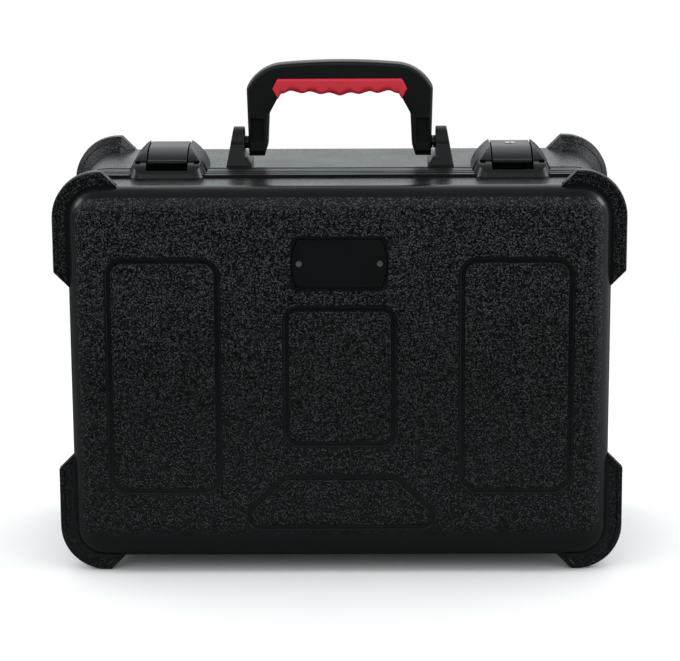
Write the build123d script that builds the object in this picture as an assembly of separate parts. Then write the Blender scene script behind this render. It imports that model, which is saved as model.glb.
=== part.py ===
from build123d import *
import os

# Hard microphone case, standing upright with the lid towards -Y, in millimetres.
# X runs along the case, Y from the lid's face to the back, Z up from the floor.

# Driving sizes of the case
width_over_guards = 470.0
height_over_guards = 339.0
case_depth = 220.0
guard_stand = 12.25
wall = 3.5
shell_corner_r = 26.0
face_edge_r = 18.0
parting_y = -31.5
parting_gap = 0.3

# Corner guards, moulded in one with each shell
guard_set_back = 12.0
guard_rim = 10.0
guard_slope = 16.0
guard_root = 2.0
guard_top_run = 3.0
guard_arm_upper = 83.0
guard_arm_lower = 87.5
guard_rim_r = 1.6

# Grooved panels on the two faces
groove_w = 3.0
groove_d = 1.5
groove_lip_r = 0.9
side_panel_x = 145.0
side_panel_w = 91.0
side_panel_h = 197.0
side_panel_r = 14.0
mid_panel_w = 90.0
mid_panel_h = 116.5
mid_panel_r = 10.5
low_panel_top_w = 92.0
low_panel_w = 154.0
low_panel_h = 45.0
low_panel_side_h = 16.0
low_panel_drop = 85.0
low_panel_r = 9.0

# Name plate and its shallow seat
plate_w = 68.0
plate_h = 39.5
plate_bow = 4.5
plate_t = 1.0
plate_corner_r = 3.0
plate_rise = 95.0
plate_seat_d = 1.8
plate_seat_margin = 1.2
plate_rivet_x = 33.0
plate_rivet_r = 2.4
plate_rivet_shank_r = 1.2
plate_rivet_h = 0.6

# Aluminium valances round the mouths of the two shells
valance_reach_lid = 24.0
valance_reach_base = 14.5
valance_t = 2.2
valance_inner_t = 1.6
valance_inner_half = 16.0
valance_web_base = 6.0
valance_web_lid = 3.0
flute_w = 3.6
flute_d = 0.9
flutes_lid = (8.0, 16.4)
flutes_base = (9.0,)
tongue_in = 1.0
tongue_w = 2.4
tongue_l = 2.35
tongue_clear = 0.5
tongue_groove_d = 4.0
seal_t = 1.5
seal_clear = 0.1

# Latches: a hood on the base with a lifting paddle, and a keeper hood on the lid
latch_x = 143.5
latch_half_w = 32.7
latch_front_y = -61.0
latch_back_y = 19.0
latch_lip_h = 5.9
latch_lip_t = 4.4
latch_corner_r = 12.0
latch_draft = 24.0
latch_draft_past = 10.0
latch_tail_l = 10.0
latch_tail_w = 6.0
latch_floor_t = 1.4
latch_crest_r = 5.0
latch_plan_r = 3.0
latch_skirt_h = 2.6
latch_flank_in = 5.8
latch_flank_h = 12.1
cheek_rise = 0.5
cheek_back_y = 11.0
cheek_top_w = 0.4
keeper_top_h = 11.2
keeper_brow_y = -57.6
keeper_brow_h = 5.9
keeper_foot_h = 0.8
catch_slot_x = 24.4
catch_slot_w = 4.2
catch_slot_front = -50.0
catch_slot_back = -42.0
catch_slot_low = 8.2
catch_slot_high = 12.0
paddle_half_w = 16.2
paddle_front_y = -45.0
paddle_flat_y = -16.0
paddle_t = 3.0
paddle_bead_r = 1.9
paddle_arc_r = 52.5
paddle_side_clear = 1.2
paddle_pin_y = 6.0
paddle_pin_h = 14.8
paddle_barrel_r = 6.0
paddle_pin_r = 1.6
paddle_rib_x = 10.0
paddle_rib_t = 2.4
claw_pin_y = -12.0
claw_pin_h = 9.2
claw_pin_r = 1.4
claw_eye_r = 3.2
claw_t = 1.8
claw_half_w = 9.6
claw_nose_y = -41.7
claw_nose_l = 3.7
claw_bite_gap = 0.3
claw_hook_h = 0.7
claw_neck = 1.0
claw_shoulder_l = 2.0
keeper_bar_y = -39.5
keeper_bar_r = 1.3
keeper_bar_h = 5.1
bar_grip_l = 2.8
lock_y = -8.0
lock_r = 4.5
lock_top_h = 21.2
lock_bottom_h = 13.6
lock_cam_t = 1.2
lock_cam_l = 8.5
lock_cam_w = 5.0
keyway_w = 1.2
keyway_l = 5.0
keyway_d = 3.0

# Handle: moulded bow, soft grip and two brackets; bow heights are from the pivot
handle_y = 5.0
pivot_h = 20.1
bow_rise = 69.6
crown_drop = 2.2
crown_half_w = 49.0
bow_half_w = 78.6
bow_corner_h = 47.0
bow_corner_r = 4.0
bow_t = 20.0
bow_edge_r = 3.0
leg_half_out = 77.0
leg_half_in = 60.9
leg_half_in_top = 59.6
leg_inner_top = 25.2
leg_end_r = 11.6
leg_chamfer_w = 3.3
leg_chamfer_h = 10.3
pocket_w = 11.5
pocket_h = 21.0
pocket_d = 6.0
pocket_low = 0.7
pocket_r = 1.5
grip_hook_half = 52.8
grip_hook_h = 37.8
grip_tip_half = 57.2
grip_tip_h = 46.5
grip_top_half = 52.4
grip_top_h = 55.4
grip_arch_half = 49.1
grip_arch_h = 42.2
grip_mid_h = 40.5
grip_fingers = ((9.9, 42.7), (16.4, 41.7), (25.8, 43.8), (32.2, 42.5), (41.5, 44.5))
grip_t = 22.0
grip_edge_r = 3.0
grip_corner_r = 2.5
grip_fit = 0.05
pivot_pin_r = 3.0
pivot_pin_in = 62.0
pivot_pin_out = 88.0
pivot_boss_r = 5.5
pivot_gap = 0.3
bracket_in_x = 81.0
bracket_top_x = 90.2
bracket_out_x = 96.4
bracket_toe_x = 74.5
bracket_toe_h = 4.4
bracket_step_h = 9.6
bracket_foot_t = 3.0
bracket_tower_r = 13.4
bracket_half_l = 20.0
bracket_edge_r = 1.0
backing_t = 2.0
backing_half_l = 17.0
backing_half_w = 14.0
backing_x = 86.0

# Hinges under the case
hinge_x = 125.0
hinge_w = 60.0
hinge_leaf_l = 13.8
hinge_leaf_t = 1.6
hinge_knuckle_r = 3.2
hinge_axis_gap = 0.3
hinge_pin_r = 1.5
hinge_slot_clear = 0.3
hinge_mid_share = 0.5

# Screws and rivets
screw_r = 2.0
screw_head_r = 4.0
screw_head_h = 2.2
screw_bite = 5.0
keeper_screw_bite = 2.6
bracket_screw_span = 18.0
bracket_screw_x = 88.0
latch_screw_x = 24.0
housing_screw_y = 2.0
keeper_screw_y = -42.0
hinge_rivet_x = 20.0
hinge_rivet_y = 8.8
rivet_head_h = 1.2

# Foam
foam_clear = 0.3
floor_pad_t = 15.0
foam_face_y = -14.0
foam_top_gap = 8.5
drop_w = 42.0
drop_h = 56.0
drop_r = 10.0
drop_columns = 5
drop_rows = 3
drop_pitch_x = 62.0
drop_pitch_z = 88.0
drop_first_x = -180.0
tray_w = 86.0
tray_h = 232.0
tray_x = 158.0
tray_r = 12.0
lid_pad_t = 30.0

# Clearances, and how far a cutter passes the faces that it cuts
pin_clear = 0.05
fastener_clear = 0.05
moving_clear = 0.4
over = 1.0

# Worked-out places
shell_w = width_over_guards - 2 * guard_stand
shell_h = height_over_guards - 2 * guard_stand
mid_z = height_over_guards / 2
floor_z = guard_stand
roof_z = height_over_guards - guard_stand
front_y = -case_depth / 2
back_y = case_depth / 2
lid_mouth_y = parting_y - parting_gap / 2
base_mouth_y = parting_y + parting_gap / 2
lid_rim_y = lid_mouth_y - valance_web_lid
base_rim_y = base_mouth_y + valance_web_base
lid_valance_y = parting_y - valance_reach_lid
base_valance_y = parting_y + valance_reach_base
hinge_leaf_z = floor_z - valance_t
hinge_axis_z = hinge_leaf_z - hinge_knuckle_r - hinge_axis_gap
paddle_top_h = paddle_pin_h + paddle_barrel_r
cheek_top_h = paddle_top_h + cheek_rise
bay_half_w = paddle_half_w + paddle_side_clear
latch_floor_h = valance_t + latch_floor_t
inner_flange_in = wall + valance_inner_t
roof_inside_z = roof_z - wall
pad_inset = face_edge_r + foam_clear


def slab(sketch, y0, y1):
    """A front-view sketch made solid between two Y places."""
    return extrude(Plane.XZ.offset(-y1) * sketch, amount=y1 - y0, dir=(0, -1, 0))


def bar(sketch, x0, x1):
    """A side-view sketch (Y across, Z up) made solid between two X places."""
    return extrude(Plane.YZ.offset(x0) * sketch, amount=x1 - x0, dir=(1, 0, 0))


def box(x0, x1, y0, y1, z0, z1):
    """A plain block between its low and high corners."""
    return Pos((x0 + x1) / 2, (y0 + y1) / 2, (z0 + z1) / 2) * Box(x1 - x0, y1 - y0, z1 - z0)


def post(x, y, z0, z1, r):
    """A round upright between two heights."""
    return Pos(x, y, (z0 + z1) / 2) * Cylinder(r, z1 - z0)


def axle(x0, x1, y, z, r):
    """A round bar along X."""
    return Pos((x0 + x1) / 2, y, z) * Rot(0, 90, 0) * Cylinder(r, x1 - x0)


def left_of(solid):
    """The mirror image on the other side of the case."""
    return mirror(solid, about=Plane.YZ)


def mouth_outline(grow):
    """The shell's front-view outline, grown or shrunk."""
    plan = RectangleRounded(shell_w + 2 * grow, shell_h + 2 * grow, shell_corner_r + grow)
    return Pos(0, mid_z) * plan


def ring(outer, inner, y0, y1):
    """A frame round the case between two growths of the shell's outline."""
    return slab(mouth_outline(outer) - mouth_outline(inner), y0, y1)


def pan(face_y, rim_y):
    """An open shell with a rounded face edge."""
    side = 1 if face_y > rim_y else -1
    low, high = sorted((face_y, rim_y))
    outer = slab(mouth_outline(0), low, high)
    face = outer.faces().sort_by(Axis.Y)[-1 if side > 0 else 0]
    outer = fillet(face.edges(), face_edge_r)
    low, high = sorted((face_y - side * wall, rim_y))
    inner = slab(mouth_outline(-wall), low, high)
    face = inner.faces().sort_by(Axis.Y)[-1 if side > 0 else 0]
    inner = fillet(face.edges(), face_edge_r - wall)
    return outer - inner


def guard_outline(grow, arm):
    """Front view of the upper right guard, as a band round the shell's corner."""
    corner_x = shell_w / 2 - shell_corner_r
    corner_z = roof_z - shell_corner_r
    out_x, out_z = shell_w / 2 + grow, roof_z + grow
    in_x, in_z = shell_w / 2 - guard_root, roof_z - guard_root
    arm_z = height_over_guards - arm
    top_x = corner_x - guard_top_run
    slant = grow + guard_root
    edges = Line((out_x, arm_z), (out_x, corner_z))
    edges += CenterArc((corner_x, corner_z), shell_corner_r + grow, 0, 90)
    edges += Line((corner_x, out_z), (top_x, out_z))
    edges += Line((top_x, out_z), (top_x - slant, in_z))
    edges += Line((top_x - slant, in_z), (corner_x, in_z))
    edges += CenterArc((corner_x, corner_z), shell_corner_r - guard_root, 0, 90)
    edges += Line((in_x, corner_z), (in_x, arm_z - slant))
    edges += Line((in_x, arm_z - slant), (out_x, arm_z))
    return make_face(edges)


def guard(arm):
    """One front guard: a flat rim that slopes down to the shell behind."""
    y0 = front_y + guard_set_back
    y1 = y0 + guard_rim
    sunk = -guard_root / 2
    y2 = y1 + guard_slope * (guard_stand - sunk) / guard_stand
    rim = slab(guard_outline(guard_stand, arm), y0, y1)
    tall = Plane.XZ.offset(-y1) * guard_outline(guard_stand, arm)
    low = Plane.XZ.offset(-y2) * guard_outline(sunk, arm)
    fin = rim + loft([tall.face(), low.face()], ruled=True)
    face = fin.faces().sort_by(Axis.Y)[0]
    outside = shell_w / 2 + guard_stand / 2
    above = roof_z + guard_stand / 2
    edges = [e for e in face.edges()
             if (e @ 0.5).X > outside or (e @ 0.5).Z > above]
    return fillet(edges, guard_rim_r)


def guards():
    """The four front guards of a shell."""
    upper = guard(guard_arm_upper)
    lower = mirror(guard(guard_arm_lower), about=Plane.XY.offset(mid_z))
    return [upper, lower, left_of(upper), left_of(lower)]


def tall_panels():
    """Outlines of the three rounded panels."""
    side_panel = RectangleRounded(side_panel_w, side_panel_h, side_panel_r)
    mid_panel = RectangleRounded(mid_panel_w, mid_panel_h, mid_panel_r)
    return [Pos(-side_panel_x, mid_z) * side_panel, Pos(0, mid_z) * mid_panel,
            Pos(side_panel_x, mid_z) * side_panel]


def low_panel():
    """Outline of the wide low panel with slanting shoulders."""
    top_z = mid_z - low_panel_drop
    low_z = top_z - low_panel_h
    right = [(low_panel_top_w / 2, top_z), (low_panel_w / 2, low_z + low_panel_side_h),
             (low_panel_w / 2, low_z)]
    outline = Polygon(*(right + [(-x, z) for x, z in reversed(right)]), align=None)
    return fillet(outline.vertices(), low_panel_r)


def panelled(shell, face_y, outlines):
    """Cuts a groove inside each panel's outline into a shell's face and rounds its lips."""
    side = 1 if face_y > 0 else -1
    low, high = sorted((face_y, face_y - side * groove_d))
    rims = []
    for outline in outlines:
        shell -= slab(outline - offset(outline, -groove_w), low, high)
        span = outline.bounding_box()
        rims += [(span.min.X - over, span.max.X + over, span.min.Y - over, span.max.Y + over)]
    lips = [e for e in shell.edges().filter_by_position(Axis.Y, face_y, face_y)
            if any(x0 < (e @ 0.5).X < x1 and z0 < (e @ 0.5).Z < z1 for x0, x1, z0, z1 in rims)]
    return fillet(lips, groove_lip_r)


def plate_outline(grow):
    """The name plate: a rectangle with bowed ends."""
    half_w, half_h = plate_w / 2 + grow, plate_h / 2 + grow
    edges = Line((-half_w, half_h), (half_w, half_h))
    edges += ThreePointArc((half_w, half_h), (half_w + plate_bow, 0), (half_w, -half_h))
    edges += Line((half_w, -half_h), (-half_w, -half_h))
    edges += ThreePointArc((-half_w, -half_h), (-half_w - plate_bow, 0), (-half_w, half_h))
    outline = make_face(edges)
    return Pos(0, mid_z + plate_rise) * fillet(outline.vertices(), plate_corner_r)


def keeper_screws():
    """Screws from inside the lid into the keeper hoods."""
    low = roof_z - wall - valance_inner_t
    high = roof_z + valance_t + keeper_screw_bite
    return [(x, keeper_screw_y, low, high) for x in screw_row()]


def housing_screws():
    """Screws from inside the base into the latch housings."""
    return [(x, housing_screw_y, roof_inside_z, roof_z + screw_bite) for x in screw_row()]


def screw_row():
    """X places of the latch screws."""
    return [side * latch_x + d for side in (-1, 1) for d in (-latch_screw_x, latch_screw_x)]


def bracket_screws():
    """Screws from inside the base through the backing plates into the brackets."""
    rows = (handle_y - bracket_screw_span / 2, handle_y + bracket_screw_span / 2)
    low = roof_inside_z - backing_t
    return [(x, y, low, roof_z + screw_bite)
            for x in (-bracket_screw_x, bracket_screw_x) for y in rows]


def hinge_rivets(side):
    """Rivets through the hinge leaves: side -1 is the lid's, +1 the base's."""
    return [(hx + dx, parting_y + side * hinge_rivet_y, hinge_leaf_z - hinge_leaf_t,
             floor_z + inner_flange_in)
            for hx in (-hinge_x, hinge_x) for dx in (-hinge_rivet_x, hinge_rivet_x)]


def drilled(solid, rows):
    """Cuts the clearance holes of a row of screws or rivets."""
    for x, y, low, high in rows:
        solid -= post(x, y, low - screw_head_h, high + fastener_clear, screw_r + fastener_clear)
    return solid


def screws(rows):
    """Button-headed screws with their heads inside the case."""
    return [post(x, y, low, high, screw_r) + post(x, y, low - screw_head_h, low, screw_head_r)
            for x, y, low, high in rows]


def rivets(rows):
    """Rivets with a low head outside and a peened tail inside."""
    made = []
    for x, y, low, high in rows:
        shank = post(x, y, low, high, screw_r)
        head = post(x, y, low - rivet_head_h, low, screw_head_r)
        tail = post(x, y, high, high + rivet_head_h, screw_head_r)
        made.append(shank + head + tail)
    return made


def make_lid_shell():
    """The front half of the case: face with panels and the name plate's seat."""
    shell = pan(front_y, lid_rim_y)
    shell = panelled(shell, front_y, tall_panels() + [low_panel()])
    shell -= slab(plate_outline(plate_seat_margin), front_y, front_y + plate_seat_d)
    for x in (-plate_rivet_x, plate_rivet_x):
        hole = Pos(x, mid_z + plate_rise) * Circle(plate_rivet_shank_r + fastener_clear)
        shell -= slab(hole, front_y, front_y + wall)
    for fin in guards():
        shell += fin
    shell = drilled(shell, keeper_screws())
    return drilled(shell, hinge_rivets(-1))


def make_base_shell():
    """The rear half of the case, deeper than the lid."""
    shell = pan(back_y, base_rim_y)
    shell = panelled(shell, back_y, tall_panels())
    for fin in guards():
        shell += mirror(fin, about=Plane.XZ)
    shell = drilled(shell, housing_screws() + bracket_screws())
    return drilled(shell, hinge_rivets(1))


def valance(side):
    """Channel extrusion bent round one shell's mouth: side -1 lid, +1 base."""
    if side < 0:
        mouth, web, edge_y, flutes = lid_mouth_y, valance_web_lid, lid_valance_y, flutes_lid
    else:
        mouth, web, edge_y, flutes = base_mouth_y, valance_web_base, base_valance_y, flutes_base
    frame = ring(valance_t, 0, *sorted((mouth, edge_y)))
    frame += ring(valance_t, -inner_flange_in, *sorted((mouth, mouth + side * web)))
    inner_end = parting_y + side * valance_inner_half
    frame += ring(-wall, -inner_flange_in, *sorted((mouth, inner_end)))
    for place in flutes:
        y = parting_y + side * place
        frame -= ring(valance_t + over, valance_t - flute_d, y - flute_w / 2, y + flute_w / 2)
    return frame


def make_lid_valance():
    """The lid's valance, with the tongue that enters the base's groove."""
    frame = valance(-1)
    frame += ring(-tongue_in, -tongue_in - tongue_w, lid_mouth_y - over, lid_mouth_y + tongue_l)
    frame = drilled(frame, keeper_screws())
    return drilled(frame, hinge_rivets(-1))


def make_base_valance():
    """The base's valance, with the tongue's groove."""
    out_edge, in_edge = -tongue_in + tongue_clear, -tongue_in - tongue_w - tongue_clear
    frame = valance(1) - ring(out_edge, in_edge, base_mouth_y, base_mouth_y + tongue_groove_d)
    return drilled(frame, hinge_rivets(1))


def make_seal():
    """Rubber strip at the bottom of the tongue's groove."""
    out_edge = -tongue_in + tongue_clear - seal_clear
    in_edge = -tongue_in - tongue_w - tongue_clear + seal_clear
    bottom = base_mouth_y + tongue_groove_d
    return ring(out_edge, in_edge, bottom - seal_t, bottom)


def make_name_plate():
    """The bare name plate in its seat."""
    y0 = front_y + plate_seat_d - plate_t
    plate = slab(plate_outline(0), y0, front_y + plate_seat_d)
    for x in (-plate_rivet_x, plate_rivet_x):
        hole = Pos(x, mid_z + plate_rise) * Circle(plate_rivet_shank_r + fastener_clear)
        plate -= slab(hole, y0, front_y + plate_seat_d)
    return plate


def make_plate_rivets():
    """Two small rivets; their heads stay just behind the case's face."""
    y0 = front_y + plate_seat_d - plate_t
    made = []
    for x in (-plate_rivet_x, plate_rivet_x):
        centre = Pos(x, mid_z + plate_rise)
        head = slab(centre * Circle(plate_rivet_r), y0 - plate_rivet_h, y0)
        shank = slab(centre * Circle(plate_rivet_shank_r), y0, front_y + wall)
        made.append(head + shank)
    return made


def arc_drop(y, radius):
    """How far the paddle's arc, flat behind and bending down in front, has dropped at Y."""
    reach = max(paddle_flat_y - y, 0)
    return radius - (radius ** 2 - reach ** 2) ** 0.5


def arc_down(y, high, radius):
    """The arc in side view, from its flat end down to the front."""
    mid_y = (paddle_flat_y + y) / 2
    return ThreePointArc((paddle_flat_y, high), (mid_y, high - arc_drop(mid_y, radius)),
                         (y, high - arc_drop(y, radius)))


def cheek_side():
    """Side view of the housing: it follows the paddle and ends flat at the parting."""
    front_top = cheek_top_h - arc_drop(base_mouth_y, paddle_arc_r)
    edges = arc_down(base_mouth_y, cheek_top_h, paddle_arc_r)
    edges += Polyline((base_mouth_y, front_top), (base_mouth_y, 0), (latch_back_y, 0),
                      (cheek_back_y, cheek_top_h), (paddle_flat_y, cheek_top_h))
    outline = make_face(edges)
    crest = outline.vertices().sort_by(lambda p: abs(p.X - cheek_back_y) + abs(p.Y - cheek_top_h))
    return fillet(crest[0], latch_crest_r)


def keeper_side():
    """Side view of the keeper: level with the paddle's arc, then a round brow down to its lip."""
    mid_y = (lid_mouth_y + paddle_front_y) / 2
    rear, mid, front = (cheek_top_h - arc_drop(y, paddle_arc_r)
                        for y in (lid_mouth_y, mid_y, paddle_front_y))
    edges = ThreePointArc((lid_mouth_y, rear), (mid_y, mid), (paddle_front_y, front))
    edges += Line((paddle_front_y, front), (paddle_front_y, keeper_top_h))
    edges += ThreePointArc((paddle_front_y, keeper_top_h), (keeper_brow_y, keeper_brow_h),
                           (latch_front_y, keeper_foot_h))
    edges += Polyline((latch_front_y, keeper_foot_h), (latch_front_y, 0), (lid_mouth_y, 0),
                      (lid_mouth_y, rear))
    return make_face(edges)


def keeper_plan():
    """Keeper seen from above, with round front corners, drawn in upwards by the mould's draft."""
    back = lid_mouth_y + latch_draft_past
    corner = [(latch_half_w, latch_front_y), (latch_half_w, back)]
    plan = Polygon(*(corner + [(-x, y) for x, y in reversed(corner)]), align=None)
    plan = fillet(plan.vertices().sort_by(Axis.Y)[:2], latch_corner_r)
    return extrude(plan, amount=cheek_top_h, taper=latch_draft)


def housing_plan():
    """Housing seen from above, narrower at its tail."""
    corner = [(latch_half_w, latch_front_y), (latch_half_w, latch_back_y - latch_tail_l),
              (latch_half_w - latch_tail_w, latch_back_y)]
    plan = Polygon(*(corner + [(-x, y) for x, y in reversed(corner)]), align=None)
    plan = fillet(plan.vertices(), latch_plan_r)
    return extrude(plan, amount=cheek_top_h + over, dir=(0, 0, 1))


def hood(side_view, plan):
    """One latch half at X = 0, where its side view, front view and plan meet."""
    top_x = bay_half_w + cheek_top_w
    curve = ThreePointArc((latch_half_w, latch_skirt_h),
                          (latch_half_w - latch_flank_in, latch_flank_h), (top_x, cheek_top_h))
    edges = Line((latch_half_w, 0), (latch_half_w, latch_skirt_h)) + curve
    edges += Line((top_x, cheek_top_h), (-top_x, cheek_top_h))
    edges += mirror(curve, about=Plane.YZ)
    edges += Polyline((-latch_half_w, latch_skirt_h), (-latch_half_w, 0), (latch_half_w, 0))
    front_view = slab(make_face(edges), latch_front_y, latch_back_y)
    return bar(side_view, -latch_half_w, latch_half_w) & front_view & plan


def paddle_bay():
    """Room for the paddle between the cheeks, at X = 0 and roof height 0."""
    back = paddle_pin_y + paddle_barrel_r + moving_clear
    return box(-bay_half_w, bay_half_w, latch_front_y + latch_lip_t, back,
               latch_floor_h, cheek_top_h + over)


def catch_slots():
    """A short slot in each flank of the keeper, at the foot of its arc."""
    low_x, high_x = catch_slot_x - catch_slot_w / 2, catch_slot_x + catch_slot_w / 2
    slot = box(low_x, high_x, catch_slot_front, catch_slot_back, catch_slot_low, catch_slot_high)
    return slot + left_of(slot)


def on_valance(solid):
    """Seats a latch part on the roof and over the proud valance."""
    return solid - box(-shell_w, shell_w, lid_valance_y, base_valance_y, -over, valance_t)


def placed(solid, side):
    """Moves a latch part from X = 0 to its place on the case's roof."""
    return Pos(side * latch_x, 0, roof_z) * solid


def make_housing(side):
    """The latch housing on the base: floor, cheeks and the paddle pin's bores."""
    form = hood(cheek_side(), housing_plan()) - paddle_bay()
    form = on_valance(form)
    reach = bay_half_w + bar_grip_l
    form -= axle(-reach, reach, paddle_pin_y, paddle_pin_h, paddle_pin_r + fastener_clear)
    return drilled(placed(form, side), housing_screws())


def make_keeper_hood(side):
    """The keeper's hood on the lid, with the finger recess behind its lip."""
    form = hood(keeper_side(), keeper_plan()) - paddle_bay() - catch_slots()
    form -= box(-bay_half_w, bay_half_w, latch_front_y - over, latch_front_y + latch_lip_t,
                latch_lip_h, keeper_top_h)
    form = on_valance(form)
    reach = bay_half_w + bar_grip_l
    form -= axle(-reach, reach, keeper_bar_y, keeper_bar_h, keeper_bar_r + fastener_clear)
    return drilled(placed(form, side), keeper_screws())


def make_keeper_bar(side):
    """Steel bar that the claw holds."""
    reach = bay_half_w + bar_grip_l - fastener_clear
    return placed(axle(-reach, reach, keeper_bar_y, keeper_bar_h, keeper_bar_r), side)


def make_paddle_pin(side):
    """Steel pin through the housing's cheeks and the paddle's barrel."""
    reach = bay_half_w + bar_grip_l - fastener_clear
    return placed(axle(-reach, reach, paddle_pin_y, paddle_pin_h, paddle_pin_r), side)


def make_paddle(side):
    """The lifting paddle: bent plate with a bead along its nose, barrel and two ribs."""
    front_top = paddle_top_h - arc_drop(paddle_front_y, paddle_arc_r)
    under_r = paddle_arc_r - paddle_t
    shrink = under_r / paddle_arc_r
    under_y = paddle_flat_y + (paddle_front_y - paddle_flat_y) * shrink
    under_h = paddle_top_h - paddle_t
    under_front = under_h - arc_drop(under_y, under_r)
    edges = arc_down(paddle_front_y, paddle_top_h, paddle_arc_r)
    edges += Line((paddle_front_y, front_top), (under_y, under_front))
    edges += arc_down(under_y, under_h, under_r)
    edges += Polyline((paddle_flat_y, under_h), (paddle_pin_y, under_h),
                      (paddle_pin_y, paddle_top_h), (paddle_flat_y, paddle_top_h))
    body = bar(make_face(edges), -paddle_half_w, paddle_half_w)
    nose_y, nose_h = (paddle_front_y + under_y) / 2, (front_top + under_front) / 2
    body += axle(-paddle_half_w, paddle_half_w, nose_y, nose_h, paddle_bead_r)
    body += axle(-paddle_half_w, paddle_half_w, paddle_pin_y, paddle_pin_h, paddle_barrel_r)
    rib_y = claw_pin_y - claw_eye_r
    rib = Polygon((rib_y, claw_pin_h), (rib_y, paddle_top_h - over),
                  (paddle_pin_y, paddle_top_h - over), (paddle_pin_y, paddle_pin_h),
                  (claw_pin_y + claw_eye_r, claw_pin_h), align=None)
    rib += Pos(claw_pin_y, claw_pin_h) * Circle(claw_eye_r)
    for x in (-paddle_rib_x - paddle_rib_t, paddle_rib_x):
        body += bar(rib, x, x + paddle_rib_t)
    body -= axle(-shell_w, shell_w, paddle_pin_y, paddle_pin_h, paddle_pin_r + pin_clear)
    body -= axle(-shell_w, shell_w, claw_pin_y, claw_pin_h, claw_pin_r + fastener_clear)
    if side > 0:
        body -= post(0, lock_y, lock_bottom_h - over, lock_top_h + over, lock_r + pin_clear)
    return placed(body, side)


def make_claw(side):
    """Steel claw hung from the paddle's ribs; its nose lies over the keeper bar."""
    low = keeper_bar_h + keeper_bar_r + claw_bite_gap
    nose_end = claw_nose_y + claw_nose_l
    arm_low = low + claw_hook_h
    arm_high = low + claw_t
    shoulder_y = claw_pin_y - claw_eye_r - claw_shoulder_l
    side_view = Polygon((claw_nose_y, low), (nose_end, low), (nose_end + claw_neck, arm_low),
                        (claw_pin_y, arm_low), (claw_pin_y, claw_pin_h + claw_eye_r - claw_neck),
                        (shoulder_y, arm_high + claw_neck), (nose_end, arm_high),
                        (claw_nose_y, arm_high), align=None)
    side_view += Pos(claw_pin_y, claw_pin_h) * Circle(claw_eye_r)
    claw = bar(side_view, -claw_half_w, claw_half_w)
    claw -= axle(-shell_w, shell_w, claw_pin_y, claw_pin_h, claw_pin_r + pin_clear)
    return placed(claw, side)


def make_claw_pin(side):
    """Pin across the paddle's ribs."""
    reach = paddle_rib_x + paddle_rib_t
    return placed(axle(-reach, reach, claw_pin_y, claw_pin_h, claw_pin_r), side)


def make_lock_cylinder():
    """Key cylinder in the right paddle, with a bare keyway."""
    plug = post(0, lock_y, lock_bottom_h, lock_top_h, lock_r)
    plug -= box(-keyway_w / 2, keyway_w / 2, lock_y - keyway_l / 2, lock_y + keyway_l / 2,
                lock_top_h - keyway_d, lock_top_h)
    return placed(plug, 1)


def make_lock_cam():
    """Cam on the lower end of the key cylinder."""
    z0 = lock_bottom_h - lock_cam_t
    cam = box(-lock_cam_w / 2, lock_cam_w / 2, lock_y - lock_cam_w / 2,
              lock_y - lock_cam_w / 2 + lock_cam_l, z0, lock_bottom_h)
    return placed(cam, 1)


def bow_outline():
    """Front view of the handle's bow about the pivots' height, with no room for the grip."""
    crown = ThreePointArc((-crown_half_w, bow_rise - crown_drop), (0, bow_rise),
                          (crown_half_w, bow_rise - crown_drop))
    shoulder = TangentArc(crown @ 1, (bow_half_w, bow_corner_h), tangent=crown % 1)
    corner = (bow_half_w, bow_corner_h)
    foot_in = leg_half_in + leg_chamfer_w
    inside = [(foot_in, -leg_end_r), (leg_half_in, leg_chamfer_h - leg_end_r),
              (leg_half_in_top, leg_inner_top), (grip_hook_half, grip_hook_h)]
    edges = crown + shoulder + mirror(shoulder, about=Plane.YZ)
    edges += Polyline(corner, (leg_half_out, -leg_end_r), *inside,
                      *[(-x, z) for x, z in reversed(inside)],
                      (-leg_half_out, -leg_end_r), (-bow_half_w, bow_corner_h))
    outline = make_face(edges)
    corners = [v for v in outline.vertices() if abs(v.X) > leg_half_out and v.Y > leg_inner_top]
    return fillet(corners, bow_corner_r)


def grip_ends(grow):
    """Upper sides of the grip, from the right hook over both tips to the left hook."""
    right = [(grip_hook_half + grow, grip_hook_h), (grip_tip_half + grow, grip_tip_h),
             (grip_top_half + grow, grip_top_h + grow)]
    return Polyline(*right, *[(-x, z) for x, z in reversed(right)])


def rounded_ends(outline):
    """Rounds the tips and upper corners of the grip, or of its seat."""
    return fillet(outline.vertices().sort_by(Axis.Y)[-4:], grip_corner_r)


def grip_outline():
    """Front view of the soft grip: pointed ends, straight above, finger waves below."""
    right = [(grip_hook_half, grip_hook_h), (grip_arch_half, grip_arch_h)]
    right += reversed(grip_fingers)
    wave = Spline(*right, (0, grip_mid_h), *[(-x, z) for x, z in reversed(right)])
    return rounded_ends(make_face(wave + grip_ends(0)))


def at_pivot(solid):
    """Lifts a part drawn about the pivots' axis to its place."""
    return Pos(0, handle_y, roof_z + pivot_h) * solid


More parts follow.
